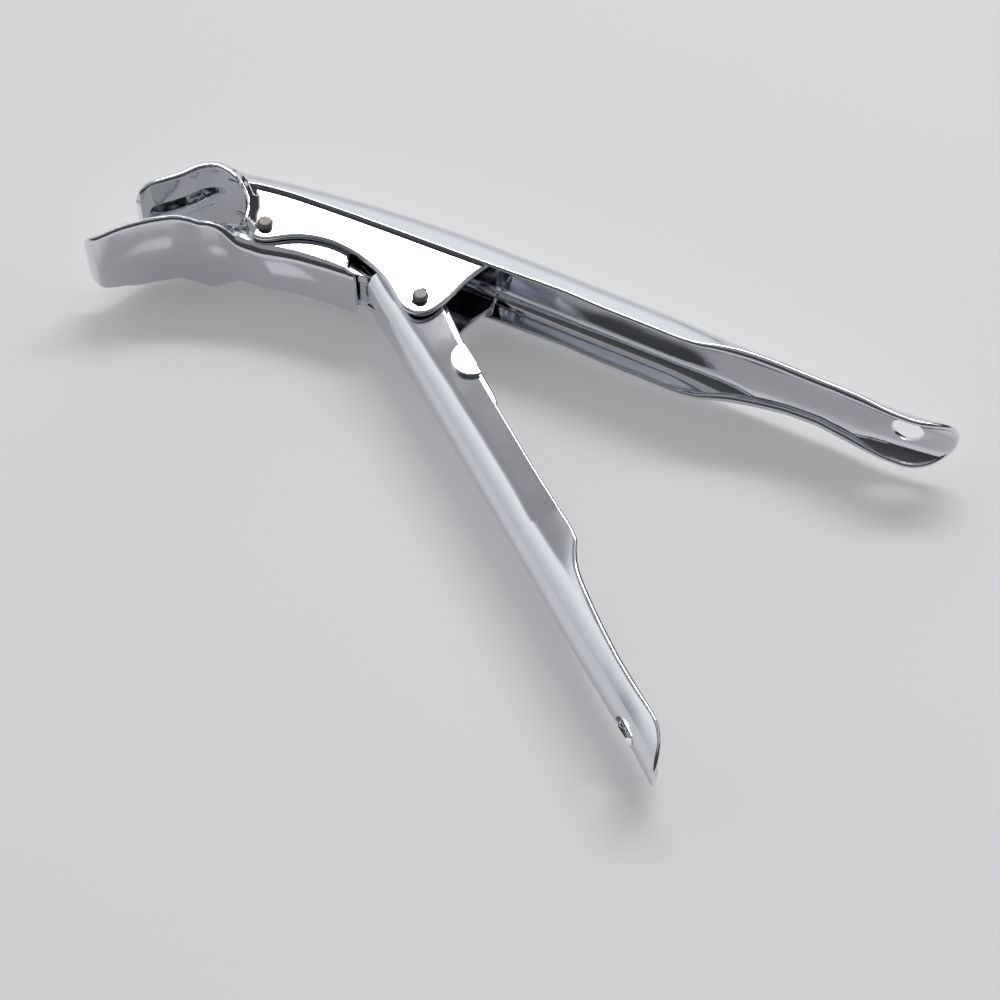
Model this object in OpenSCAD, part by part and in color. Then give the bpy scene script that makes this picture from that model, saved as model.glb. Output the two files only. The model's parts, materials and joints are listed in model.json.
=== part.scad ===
// Hand gripper for hot pans and bowls in pressed, chrome-plated steel. Squeezing the two
// handles swings the lower jaw up against the upper one. The tool lies on its side, so every
// pin stands along +Z. Profiles are drawn about the handle pin and then moved by place().

/* [Sheet and widths] */
// Outer width of the upper handle shell
shell_w = 18; // [17.6:0.1:18.4]
// Sheet thickness of both handle shells
shell_t = 0.85; // [0.7:0.05:0.9]
// Sheet thickness of the jaw frame and the lower lever
frame_t = 1.2; // [1:0.05:1.3]
// Sheet thickness of the lower jaw
jaw_t = 1; // [0.8:0.05:1.1]
// Width of both jaws along the pins
jaw_w = 20.4; // [20:0.1:22]

/* [Handles] */
// Upper handle, from the handle pin to its tip
upper_len = 105.3; // [102:0.1:110]
// Lower handle, from the handle pin to its tip
lower_len = 109; // [106:0.1:114]
// Diameter of the hanging holes
hole_d = 6.4; // [5.6:0.1:6.6]
// Radius of the rolled edge round the hand end of each handle
roll_r = 0.95; // [0.8:0.05:1.05]

/* [Pins] */
// Pin diameter
pin_d = 3; // [2.8:0.05:3.1]
// Length of pin standing out beyond each cheek
pin_out = 1.4; // [1:0.1:1.6]

/* [Spring] */
// Wire diameter of the return spring
wire_d = 1; // [0.8:0.05:1.1]
// Number of coils
coils = 5; // [3:1:6]

/* [Hidden] */
$fn = 64;

zc = jaw_w / 2;                    // middle plane of the tool
spread = 38.8;                     // angle between the handles as the tool lies
jaw_px = -35.75;                   // jaw pin, from the handle pin
jaw_py = 3.5;
pin_play = 0.05;                   // running clearance round a pin
fit = 0.05;                        // gap between sheets that lie in one another

shell_r = 4;                       // outer corner radius of the upper shell
frame_w = shell_w - 2 * (shell_t + fit);   // jaw frame sits inside the upper shell
pin_len = frame_w + 2 * pin_out;
inner_w = frame_w - 2 * frame_t;   // clear width between the cheeks
tail_w = inner_w - 0.6;            // what turns between the cheeks has 0.3 mm a side

// back of the upper handle: an arc that runs into a straight
back_r = 279;
back_cx = 2;
back_cy = 19.2 - back_r;
slope = 2.05;
arc_end = 1.2;
back_jx = back_cx + back_r * sin(arc_end);
back_jy = back_cy + back_r * cos(arc_end);

// hand end of the upper handle
up_r = 6.5;
up_cut = 48.6;
up_reach = shell_w / 2 - up_r + (up_r - roll_r) * sin(up_cut) + roll_r;
up_c = (upper_len - back_jx) / cos(slope) - up_reach;
up_hole = up_c - 1.8;
up_join = 53.5;                    // where the rolled edges begin, along the straight

// lower handle, drawn with its back at +low_back and turned over
low_back = 7.1;
low_rc = 3.5;
low_r = 4.5;
low_cut = 52;
low_reach = tail_w / 2 - low_r + (low_r - roll_r) * sin(low_cut) + roll_r;
low_c = lower_len - low_reach;
low_hole = low_c - 4.6;
low_front = -10.4;
low_join = 77;

lever_w = tail_w - 2 * (shell_t + fit);
lever_back = low_back - shell_t - fit;
nose = [-14.26, 7.16];
nose_r = 1.6;
nose_w = tail_w - 2 * jaw_t - 1.2;
tongue_w = tail_w - 2 * low_rc;    // narrow enough for the shell's rounded corners
tab_x = 17;
tab_r = 4.2;
tab_t = 1;

lap = 0.3;                         // overlap of stretches that follow each other
arc_lap = 0.8;                     // the same where the back's arc runs into its straight
weld = 0.04;                       // how much a stretch stands proud of the one it joins
coil_r = 2.35;                     // mean radius of the spring
coil_pitch = wire_d * 0.92;

chrome = [0.78, 0.79, 0.81];
steel = [0.6, 0.58, 0.55];

// origin of the record: middle of the tool's outline, at the surface it lies on
origin_x = 18.94;
origin_y = -26.66;

// ---- helpers ----
module place() translate([-origin_x, -origin_y, 0]) children();
module at_jaw_pin() translate([jaw_px, jaw_py, 0]) children();
module lower_side() rotate([0, 0, -spread]) mirror([0, 1, 0]) children();

function unit(v) = v / norm(v);
function cut_corners(p) = concat([p[0]],
    [for (i = [0:len(p) - 2]) each [0.75 * p[i] + 0.25 * p[i + 1], 0.25 * p[i] + 0.75 * p[i + 1]]],
    [p[len(p) - 1]]);
function smooth(p) = cut_corners(cut_corners(p));
function side(p, i) = let (a = p[max(i - 1, 0)], b = p[min(i + 1, len(p) - 1)], u = unit(b - a)) [-u[1], u[0]];
function shifted(p, d) = [for (i = [0:len(p) - 1]) p[i] + d * side(p, i)];
function turned(p) = [for (i = [len(p) - 1:-1:0]) p[i]];
function strip(p, t) = concat(shifted(p, t / 2), turned(shifted(p, -t / 2)));

// a sheet bent along path p, w wide, centred on the middle plane
module sheet(p, t, w) translate([0, 0, zc - w / 2]) linear_extrude(w) polygon(strip(p, t));
// keeps what lies inside outline p, seen along Z
module within(p) intersection() { children(); translate([0, 0, -5]) linear_extrude(jaw_w + 10) polygon(p); }
// keeps what lies inside outline p drawn in X and (Z - zc), seen along Y
module plan(p) intersection() {
    children();
    translate([0, 60, zc]) rotate([90, 0, 0]) linear_extrude(120) polygon(p);
}
module pin_hole(d) translate([0, 0, -5]) cylinder(d = d, h = jaw_w + 10);

// solid block with two rounded corners at its crest; X is minus the depth below the crest
module block(w, r, h) {
    translate([-h, -w / 2]) square([h - r, w]);
    translate([-h, -w / 2 + r]) square([h, w - 2 * r]);
    for (s = [-1, 1]) translate([-r, s * (w / 2 - r)]) circle(r);
}
module channel(w, r, t, h) difference() {
    block(w, r, h);
    translate([-t, 0]) block(w - 2 * t, r - t, h + 1);
}
// shallow channel with rolled edges of radius rr; cut is where the roll begins, from the crest
module rolled(w, r, t, cut, rr = roll_r) {
    intersection() {
        channel(w, r, t, r + 1);
        translate([-r * (1 - cos(cut)), -w]) square([2 * r, 2 * w]);
    }
    for (s = [-1, 1])
        translate([-(r - (r - rr) * cos(cut)), s * (w / 2 - r + (r - rr) * sin(cut))])
            circle(rr);
}
// a 2D section run straight along +X with its crest at y = 0
module run(l) translate([0, 0, zc]) rotate([90, 0, 90]) linear_extrude(l) children();
// a rolled section turned round the hand end, a hair thicker than the one it joins
module round_end(w, r, t, cut) translate([0, 0, zc]) rotate([-90, 0, 0]) rotate([0, 0, -90])
    rotate_extrude(angle = 180) rotate([0, 0, 90]) intersection() {
        translate([weld, 0]) rolled(w + 2 * weld, r + weld, t + 2 * weld, cut, roll_r + weld);
        translate([-2 * r, -2 * w]) square([4 * r, 2 * w]);
    }
module back_arc(drop, from_a, to_a) translate([back_cx, back_cy, zc]) rotate([0, 0, 90 - to_a])
    rotate_extrude(angle = to_a - from_a) translate([back_r - drop, 0]) children();
module on_back() translate([back_jx, back_jy, 0]) rotate([0, 0, -slope]) children();

// ---- outlines, about the handle pin ----
cheek = concat([[9, 30], [9, 16]], smooth([[8.2, 14], [7.7, 12.2], [6.5, 9.7], [5.6, 6.9], [4.6, 3.1],
    [3.9, 0.6], [2.9, -1.7], [0.9, -3.1], [-1.2, -3.2], [-3, -2.4], [-5, -0.6], [-7.4, 1.3],
    [-10.4, 3], [-13.2, 4.2], [-15.8, 5], [-18.4, 5.5], [-21, 5.8], [-23.6, 5.7], [-26.2, 5.3],
    [-28.8, 4.5], [-31.2, 3.2], [-33.4, 1.6], [-35.2, 0.8], [-37, 0.8], [-38.4, 1.8], [-39.1, 3.6],
    [-39.6, 5.8], [-41, 8.2], [-43.2, 9.8], [-44.8, 10.9]]), [[-45.6, 12], [-46, 30]]);
upper_edge = concat([[70, 40], [66, 15]], smooth([[64, 14.6], [61, 13.6], [57.4, 11.9], [54.4, 11],
    [50, 11.2], [33, 11.8], [22, 12.3], [8, 12.2], [-19, 12.3], [-32.3, 12.1], [-41, 11.2],
    [-44.3, 10.7]]), [[-47.6, 14], [-48, 40]]);
roof = smooth([[-62.2, -0.7], [-61.3, 2.1], [-59.2, 4.2], [-56.3, 7.2], [-53.9, 10.6], [-51.2, 12.3],
    [-48, 12.9], [-45, 13.55], [-43, 13.95]]);
roof_plan = [[-64, -6], [-62.6, -7.4], [-60.6, -9.4], [-58, -jaw_w / 2], [-48.2, -jaw_w / 2],
    [-47.8, -9.4], [-47.6, -6.6], [-42, -5.4], [-42, 5.4], [-47.6, 6.6], [-47.8, 9.4],
    [-48.2, jaw_w / 2], [-58, jaw_w / 2], [-60.6, 9.4], [-62.6, 7.4], [-64, 6]];

// ---- outlines about the jaw pin ----
jaw_line = smooth([[-31.3, -17], [-29.8, -18.2], [-28.6, -18.8], [-27.4, -17.3], [-24.8, -13.7],
    [-21.1, -10.1], [-17.1, -7.2], [-14.2, -6.3], [-10.9, -6.2], [-7.4, -4], [-4.4, -3.9],
    [-1.4, -4.9], [2.6, -4.7], [6.6, -3.4], [12, -2.9], [21, -2.6]]);
jaw_plan = [[-33, -5], [-31.4, -6.8], [-29, -8.9], [-26, -jaw_w / 2], [-7.4, -jaw_w / 2],
    [-4.6, -tail_w / 2 - 1.4], [-2.2, -tail_w / 2], [40, -tail_w / 2], [40, tail_w / 2],
    [-2.2, tail_w / 2], [-4.6, tail_w / 2 + 1.4], [-7.4, jaw_w / 2], [-26, jaw_w / 2],
    [-29, 8.9], [-31.4, 6.8], [-33, 5]];
jaw_ears = concat([[-2.2, -4.4], [-1.4, -5.3], [2.6, -5.1], [6.6, -3.8], [12, -3.3], [18.6, -3.05]],
    smooth([[18.4, -2.2], [17.6, -0.9], [17.3, 1.6], [16.6, 3], [14, 3.3], [2, 3.5], [-1.6, 3.3],
    [-3.4, 1.4], [-3.6, -0.8], [-3.1, -2.8]]));

// ---- outlines of the lower handle, turned over ----
low_edge = concat([[86, 30], [86, 4.6]], smooth([[82, 4.1], [78, 3.5], [74, 2.6], [70, 1.4],
    [66, -0.2], [63.4, -1.6], [60.4, -2.1], [46, -2.2], [30, -2.5], [12, -2.9], [4, -3.6],
    [-2.6, -3.8], [-5.6, -2.4], [-8.4, 0.4], [-10.2, 2.4]]), [[low_front, 4], [low_front, 30]]);
lever_edge = concat([[36, 30], [36, 5.4]], smooth([[33, 3.6], [30, 0.4], [27.4, -2], [24, -3.2],
    [20, -3.5], [12, -3.6], [4, -4.1], [-2.6, -4.1], [-5.2, -2.6], [-7, 0]]), [[-8.4, 4], [-8.4, 30]]);

// ---- pieces ----
module upper_frame() color(chrome) place() difference() {
    union() {
        within(cheek)
            back_arc(shell_t + fit, -10.6, 1.6) channel(frame_w, shell_r - shell_t - fit, frame_t, 32);
        plan(roof_plan) sheet(roof, frame_t, jaw_w);
        // sides flare out to the wider jaw just ahead of the jaw pin
        for (s = [-1, 1])
            within([[-48.9, 13.1], [-47.9, 13.6], [-44.5, 10.4], [-41, 10.9], [-39.9, 10.8], [-38.8, 9],
                    [-37, 5], [-36.4, 0.9], [-39.2, 1.7], [-40.1, 3.4], [-40.6, 5.4], [-41.6, 7.4],
                    [-43.4, 9], [-45, 10], [-46.6, 11.4], [-48.3, 12.4]])
                translate([0, 20, zc]) rotate([90, 0, 0]) linear_extrude(22)
                    polygon([[-38.6, s * (frame_w / 2 - 0.1)], [-43, s * (frame_w / 2 + 0.5)],
                             [-46.8, s * (jaw_w / 2 - 0.2)], [-49.4, s * (jaw_w / 2 - 0.1)],
                             [-49.4, s * (jaw_w / 2 - 1.5)], [-46.8, s * (jaw_w / 2 - 1.6)],
                             [-43, s * (frame_w / 2 - 0.9)], [-38.6, s * (inner_w / 2 + 0.1)]]);
        // pressed rib along the inside of the jaw
        within([[-60.4, 4.6], [-52.2, 13.2], [-49.9, 10.6], [-58.2, 1.6]])
            plan([[-62, -3.2], [-48, -3.2], [-48, 3.2], [-62, 3.2]])
                sheet(roof, frame_t + 1.2, jaw_w);
    }
    pin_hole(pin_d);
    at_jaw_pin() pin_hole(pin_d);
}

module upper_handle_shell() color(chrome) place() difference() {
    union() {
        within(upper_edge) {
            back_arc(0, -10.3, arc_end) channel(shell_w, shell_r, shell_t, 14);
            on_back() translate([-arc_lap, weld, 0]) run(arc_lap + up_join + lap)
                channel(shell_w + 2 * weld, shell_r + weld, shell_t + 2 * weld, 14);
        }
        on_back() {
            translate([up_join, 0, 0]) run(up_c - up_join + lap) rolled(shell_w, up_r, shell_t, up_cut);
            translate([up_c, 0, 0]) round_end(shell_w, up_r, shell_t, up_cut);
        }
    }
    on_back() translate([up_hole, -10, zc]) rotate([-90, 0, 0]) cylinder(d = hole_d, h = 20);
}

module lower_handle_shell() color(chrome) place() lower_side() difference() {
    union() {
        within(low_edge) translate([low_front - 0.4, low_back, 0])
            run(low_join - low_front + 0.4 + lap) channel(tail_w, low_rc, shell_t, 14);
        translate([low_join, low_back, 0])
            run(low_c - low_join + lap) rolled(tail_w, low_r, shell_t, low_cut);
        translate([low_c, low_back, 0]) round_end(tail_w, low_r, shell_t, low_cut);
    }
    pin_hole(pin_d + 2 * pin_play);
    translate([low_hole, 0, zc]) rotate([-90, 0, 0]) cylinder(d = hole_d, h = 20);
}

module lower_lever() color(chrome) place() lower_side() difference() {
    union() {
        within(lever_edge) translate([-9, lever_back, 0])
            run(46) channel(lever_w, low_rc - shell_t, frame_t, 14);
        // tongue and knuckle that press on the jaw's tail
        translate([0, 0, zc - tongue_w / 2]) linear_extrude(tongue_w)
            polygon([[-7.6, lever_back - frame_t], [nose[0], nose[1] - nose_r], nose,
                     [low_front - 0.3, lever_back], [-7.6, lever_back]]);
        translate([0, 0, zc - nose_w / 2]) linear_extrude(nose_w) {
            polygon([[low_front - 0.8, 5.26], [nose[0], 5.52], [nose[0], 7.2], [low_front - 0.8, 6.38]]);
            translate(nose) circle(nose_r);
        }
        // half-moon tabs folded over the shell's edges
        for (s = [-1, 1]) {
            z_wall = zc + s * (tail_w / 2 + fit);
            within([[tab_x - 5, -3.1], [tab_x + 5, -3.3], [tab_x + 5, 4], [tab_x - 5, 4]])
                translate([tab_x, -3, z_wall + (s < 0 ? -tab_t : 0)]) cylinder(r = tab_r, h = tab_t);
            translate([tab_x - tab_r, -4.1, min(z_wall - s * (shell_t + 2 * fit + frame_t), z_wall + s * tab_t)])
                cube([2 * tab_r, 1.05, shell_t + 2 * fit + frame_t + tab_t]);
        }
    }
    pin_hole(pin_d + 2 * pin_play);
}

module lower_jaw() color(chrome) place() at_jaw_pin() difference() {
    union() {
        plan(jaw_plan) sheet(jaw_line, jaw_t, jaw_w);
        for (s = [-1, 1]) translate([0, 0, zc + s * (tail_w - jaw_t) / 2 - jaw_t / 2])
            linear_extrude(jaw_t) polygon(jaw_ears);
        // pressed ribs along the underside
        for (r = [[-23.4, -12.6, -16.4, -7.1], [-13.4, -6.5, -8, -4.5], [7.4, -3.2, 16, -2.8]])
            translate([0, 0, zc]) jaw_rib(r);
    }
    pin_hole(pin_d + 2 * pin_play);
}
// a rounded rib from (a, b) to (c, d), standing a little out of the sheet
module jaw_rib(r) {
    l = norm([r[2] - r[0], r[3] - r[1]]);
    translate([r[0], r[1], 0]) rotate([0, 0, atan2(r[3] - r[1], r[2] - r[0])]) {
        translate([0, -0.1, -2.4]) cube([l, 0.1, 0.1]);
        intersection() {
            translate([l / 2, l * 0.9 - 1.1, 0]) sphere(r = l * 0.9);
            translate([0, -1.4, -2.6]) cube([l, 1.4, 5.2]);
        }
    }
}

module pin() {
    c = 0.4;
    translate([0, 0, zc - pin_len / 2]) {
        cylinder(d1 = pin_d - 2 * c, d2 = pin_d, h = c);
        translate([0, 0, c]) cylinder(d = pin_d, h = pin_len - 2 * c);
        translate([0, 0, pin_len - c]) cylinder(d1 = pin_d, d2 = pin_d - 2 * c, h = c);
    }
}
module jaw_pin() color(steel) place() at_jaw_pin() pin();
module handle_pin() color(steel) place() pin();

// leg of the spring from a to b in the plane z
module leg(a, b, z) translate([a[0], a[1], z])
    rotate([0, 0, atan2(b[1] - a[1], b[0] - a[0])]) rotate([0, 90, 0])
        cylinder(d = wire_d * 0.94, h = norm(b - a));
module return_spring() color(steel) place() at_jaw_pin() {
    z0 = zc - (coils - 1) * coil_pitch / 2;
    z1 = zc + (coils - 1) * coil_pitch / 2;
    for (i = [0:coils - 1]) translate([0, 0, z0 + i * coil_pitch])
        rotate_extrude() translate([coil_r, 0]) circle(d = wire_d);
    leg(coil_r * [sin(14), cos(14)], [-9.2, 4.2], z1);
    leg(coil_r * [sin(-6), -cos(-6)], [-8.2, -1.9], z0);
}

upper_frame();
upper_handle_shell();
lower_jaw();
lower_lever();
lower_handle_shell();
jaw_pin();
handle_pin();
return_spring();
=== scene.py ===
import json
import math

import bmesh
import bpy
import numpy as np
from mathutils import Matrix, Vector


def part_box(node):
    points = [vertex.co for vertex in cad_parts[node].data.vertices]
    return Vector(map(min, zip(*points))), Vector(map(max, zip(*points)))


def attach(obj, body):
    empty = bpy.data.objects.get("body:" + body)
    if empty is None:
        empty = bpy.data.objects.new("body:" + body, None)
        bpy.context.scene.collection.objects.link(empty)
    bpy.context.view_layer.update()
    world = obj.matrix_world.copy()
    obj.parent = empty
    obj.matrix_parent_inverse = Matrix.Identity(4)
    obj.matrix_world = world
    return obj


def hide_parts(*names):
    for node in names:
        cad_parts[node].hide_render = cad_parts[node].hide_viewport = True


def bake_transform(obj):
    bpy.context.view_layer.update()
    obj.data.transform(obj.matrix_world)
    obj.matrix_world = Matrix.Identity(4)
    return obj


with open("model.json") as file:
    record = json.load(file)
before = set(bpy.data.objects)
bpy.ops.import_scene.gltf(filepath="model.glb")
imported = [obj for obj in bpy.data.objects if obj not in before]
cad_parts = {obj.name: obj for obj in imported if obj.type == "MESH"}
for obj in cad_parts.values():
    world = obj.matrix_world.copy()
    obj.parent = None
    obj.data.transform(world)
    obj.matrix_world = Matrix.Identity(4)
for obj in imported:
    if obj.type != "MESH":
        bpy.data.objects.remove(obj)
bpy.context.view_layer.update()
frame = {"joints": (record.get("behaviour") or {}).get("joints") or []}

# ---- sizes, in millimetres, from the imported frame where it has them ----
MM = 0.001
joint_at = {joint["name"]: Vector(joint["pos_m"]) for joint in frame["joints"]}
HANDLE_PIN = joint_at["handle_hinge"]
JAW_PIN = joint_at["jaw_hinge"]
SPREAD = math.radians(38.8)          # angle between the handles at rest
SHELL_T = 0.85                       # handle shells
FRAME_T = 1.2                        # jaw frame and inner lever
JAW_T = 1.0                          # lower jaw
PIN_OUT = 1.4                        # pin standing out beyond each cheek
FIT = 0.05                           # gap between sheets that lie in one another


def half_width(node):
    low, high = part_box(node)
    return (high.z - low.z) / 2 / MM


JAW_HALF = half_width("lower_jaw")
SHELL_HALF = half_width("upper_handle_shell")
FRAME_HALF = half_width("handle_pin") - PIN_OUT
TAIL_HALF = half_width("lower_handle_shell")     # turns between the cheeks, like the jaw's tail
LEVER_HALF = TAIL_HALF - SHELL_T - FIT
PLAIN = SHELL_T / 2                  # edge radius where a shell's sheet isn't rolled
BEAD = 0.95                          # radius of the rolled edge of the hand ends
HOLE_R = 3.2                         # hanging holes


# ---- frames in which the pieces are drawn: x and y about a pin, z about the middle plane ----
def about_handle_pin(p):
    return np.asarray(p, float) * MM + np.array(HANDLE_PIN)


def about_jaw_pin(p):
    return np.asarray(p, float) * MM + np.array(JAW_PIN)


def lower_side(p):
    """Drawn with its back at +y, then turned over and swung open by SPREAD."""
    p = np.asarray(p, float)
    x, y, z = p[..., 0], -p[..., 1], p[..., 2]
    c, s = math.cos(SPREAD), -math.sin(SPREAD)
    return about_handle_pin(np.stack([x * c - y * s, x * s + y * c, z], -1))


# ---- curves ----
def pchip(xs, ys):
    """A smooth curve through the points that doesn't overshoot between them."""
    xs, ys = np.asarray(xs, float), np.asarray(ys, float)
    h, d = np.diff(xs), np.diff(ys) / np.diff(xs)
    m = np.zeros(len(xs))
    m[0], m[-1] = d[0], d[-1]
    for i in range(1, len(xs) - 1):
        if d[i - 1] * d[i] > 0:
            a, b = 2 * h[i] + h[i - 1], h[i] + 2 * h[i - 1]
            m[i] = (a + b) / (a / d[i - 1] + b / d[i])

    def at(x):
        x = np.clip(np.asarray(x, float), xs[0], xs[-1])
        i = np.clip(np.searchsorted(xs, x, side="right") - 1, 0, len(xs) - 2)
        t = (x - xs[i]) / h[i]
        return (
            ys[i] * (2 * t**3 - 3 * t**2 + 1)
            + ys[i + 1] * (3 * t**2 - 2 * t**3)
            + m[i] * h[i] * (t**3 - 2 * t**2 + t)
            + m[i + 1] * h[i] * (t**3 - t**2)
        )

    return at


def spline(points, count):
    """Points spread evenly, by the first two columns' length, along a smooth line through the stations."""
    p = np.asarray(points, float)
    ext = np.vstack([2 * p[0] - p[1], p, 2 * p[-1] - p[-2]])
    out = []
    for i in range(1, len(ext) - 2):
        t = np.linspace(0, 1, 12, endpoint=False)[:, None]
        a, b, c, d = ext[i - 1], ext[i], ext[i + 1], ext[i + 2]
        out.append(0.5 * (2 * b + (c - a) * t + (2 * a - 5 * b + 4 * c - d) * t**2
                          + (3 * b - a - 3 * c + d) * t**3))
    out = np.vstack(out + [p[-1:]])
    length = np.concatenate([[0], np.cumsum(np.linalg.norm(np.diff(out[:, :2], axis=0), axis=1))])
    if out.shape[1] > 3:
        edge = np.concatenate([[0], np.cumsum(np.linalg.norm(np.diff(out[:, 2:4], axis=0), axis=1))])
        length = length / length[-1] + edge / edge[-1]
    at = np.linspace(0, length[-1], count)
    return np.stack([np.interp(at, length, out[:, k]) for k in range(out.shape[1])], -1)


def ease(x, a, b):
    t = np.clip((np.asarray(x, float) - a) / (b - a), 0, 1)
    return t * t * (3 - 2 * t)


# ---- sheet metal ----
def normals_of(grid, outward):
    """Unit normals of a grid of points; outward is a rough direction, one per row."""
    du, dv = np.gradient(grid, axis=0), np.gradient(grid, axis=1)
    n = np.cross(du, dv)
    size = np.linalg.norm(n, axis=2, keepdims=True)
    n = n / np.maximum(size, 1e-12)
    flip = np.sign((n[:, :1] * outward[:, None]).sum(2, keepdims=True))
    n = n * np.where(flip == 0, 1, flip)
    middle = np.abs(grid[:, 0, 2]) < 1e-9
    n[middle, 0, 2] = 0
    n[middle, 0] /= np.linalg.norm(n[middle, 0], axis=1, keepdims=True)
    return n


def half_sheet(grid, outward, thick, bead, square=2.0, turn=9):
    """Closed profiles, one per row: the outer face, a rounded edge and the inner face back to the start."""
    n = normals_of(grid, outward)
    rows = []
    last = grid[:, -1]
    along = np.gradient(last, axis=0)
    for i, row in enumerate(grid):
        rho = bead[i]
        end = n[i, -1]
        out = np.cross(along[i], end)
        if np.linalg.norm(out) < 1e-9:
            out = row[-1] - row[-2]
        out = out / np.linalg.norm(out)
        out = out * (1 if np.dot(out, row[-1] - row[-2]) >= 0 else -1)
        stop = math.pi if rho <= thick / 2 + 1e-6 else 2 * math.pi - math.acos(1 - thick / rho)
        angles = np.linspace(0, stop, turn + 2)[1:-1]
        c, s = np.cos(angles), np.sin(angles)
        c = np.sign(c) * np.abs(c) ** (2 / square)
        s = np.sign(s) * np.abs(s) ** (2 / square)
        edge = row[-1] - end * rho + rho * (c[:, None] * end + s[:, None] * out)
        inner = row - n[i] * thick
        length = np.concatenate([[0], np.cumsum(np.linalg.norm(np.diff(inner, axis=0), axis=1))])
        reach = length[-1] + rho * min(math.sin(stop), 0)
        at = length / max(length[-1], 1e-9) * reach
        inner = np.stack([np.interp(at, length, inner[:, k]) for k in range(3)], -1)
        rows.append(np.vstack([row, edge, inner[::-1]]))
    return np.array(rows)


def mirrored_mesh(name, rows, place, holed=None, cap_start=True, cap_end=True):
    """A mesh from half profiles at z >= 0 and their mirror image; holed marks rows that start at a hole."""
    count, size = rows.shape[:2]
    holed = [False] * count if holed is None else holed
    half = rows.reshape(-1, 3)
    verts = np.vstack([half, half * np.array([1, 1, -1])])
    faces = []
    for side in (0, 1):
        base = side * count * size
        for i in range(count - 1):
            wrap = holed[i] or holed[i + 1]
            for k in range(size if wrap else size - 1):
                a, b = k, (k + 1) % size
                quad = [base + i * size + a, base + i * size + b,
                        base + (i + 1) * size + b, base + (i + 1) * size + a]
                faces.append(quad if side == 0 else quad[::-1])
        for i, wanted in ((0, cap_start), (count - 1, cap_end)):
            if wanted:
                faces.append([base + i * size + k for k in range(size)])
    return finished_mesh(name, place(verts), faces)


def finished_mesh(name, verts, faces):
    """An object of welded, outward-facing polygons."""
    mesh = bpy.data.meshes.new(name)
    bm = bmesh.new()
    made = [bm.verts.new(v) for v in verts]
    bm.verts.ensure_lookup_table()
    for face in faces:
        corners = []
        for k in face:
            if not corners or (made[k].co - corners[-1].co).length > 1e-9:
                corners.append(made[k])
        while len(corners) > 2 and (corners[0].co - corners[-1].co).length <= 1e-9:
            corners.pop()
        if len(corners) > 2 and len(set(corners)) == len(corners):
            try:
                bm.faces.new(corners)
            except ValueError:
                pass
    bmesh.ops.remove_doubles(bm, verts=bm.verts, dist=2e-7)
    bmesh.ops.dissolve_degenerate(bm, dist=1e-7, edges=bm.edges)
    bmesh.ops.recalc_face_normals(bm, faces=bm.faces)
    for face in bm.faces:
        face.smooth = True
    bm.to_mesh(mesh)
    bm.free()
    obj = bpy.data.objects.new(name, mesh)
    bpy.context.scene.collection.objects.link(obj)
    return obj


def rounded(obj, width, segments=3, angle=50):
    """Rounds the sharp edges and keeps the big faces flat in the reflections."""
    bevel = obj.modifiers.new("bevel", "BEVEL")
    bevel.width = width * MM
    bevel.segments = segments
    bevel.limit_method = "ANGLE"
    bevel.angle_limit = math.radians(angle)
    bevel.use_clamp_overlap = True
    weighted = obj.modifiers.new("weighted", "WEIGHTED_NORMAL")
    weighted.keep_sharp = True
    return baked(obj)


def baked(obj):
    bpy.context.view_layer.update()
    graph = bpy.context.evaluated_depsgraph_get()
    mesh = bpy.data.meshes.new_from_object(obj.evaluated_get(graph), preserve_all_data_layers=True,
                                           depsgraph=graph)
    obj.modifiers.clear()
    obj.data = mesh
    return obj


def joined(first, *others):
    """All in one object, each still a closed form."""
    bpy.ops.object.select_all(action="DESELECT")
    for o in (first, *others):
        o.select_set(True)
    bpy.context.view_layer.objects.active = first
    bpy.ops.object.join()
    return first


def prism_faces(k):
    """Faces of a prism whose k lower corners come before its k upper ones."""
    faces = [list(range(k)), list(range(2 * k - 1, k - 1, -1))]
    return faces + [[i, (i + 1) % k, k + (i + 1) % k, k + i] for i in range(k)]


def plate(name, outline, z0, z1, place, bevel):
    """A flat or thick piece cut to an outline."""
    p = np.asarray(outline, float)
    k = len(p)
    verts = np.vstack([np.column_stack([p, np.full(k, z0)]), np.column_stack([p, np.full(k, z1)])])
    return rounded(finished_mesh(name, place(verts), prism_faces(k)), bevel, 4, 40)


def lathe(name, profile, place, steps=48):
    """Profile of (radius, z) turned about the drawing's z axis."""
    verts, faces = [], []
    for r, z in profile:
        for k in range(steps):
            a = 2 * math.pi * k / steps
            verts.append((r * math.cos(a), r * math.sin(a), z))
    for i in range(len(profile) - 1):
        for k in range(steps):
            b = (k + 1) % steps
            faces.append([i * steps + k, i * steps + b, (i + 1) * steps + b, (i + 1) * steps + k])
    faces.append(list(range(steps)))
    faces.append([(len(profile) - 1) * steps + k for k in range(steps)])
    return finished_mesh(name, place(np.array(verts)), faces)


def cut_away(obj, tool):
    cut = obj.modifiers.new("cut", "BOOLEAN")
    cut.operation = "DIFFERENCE"
    cut.solver = "EXACT"
    cut.object = tool
    baked(obj)
    bpy.data.objects.remove(tool)


def cut_pin_holes(obj, centres, radius, reach=12):
    """Round holes through both walls of a channel."""
    for centre in centres:
        profile = [(radius, -reach), (radius, reach)]
        cut_away(obj, lathe("cutter", profile, lambda p, c=centre: np.asarray(p) * MM + np.array(c), 64))


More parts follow.
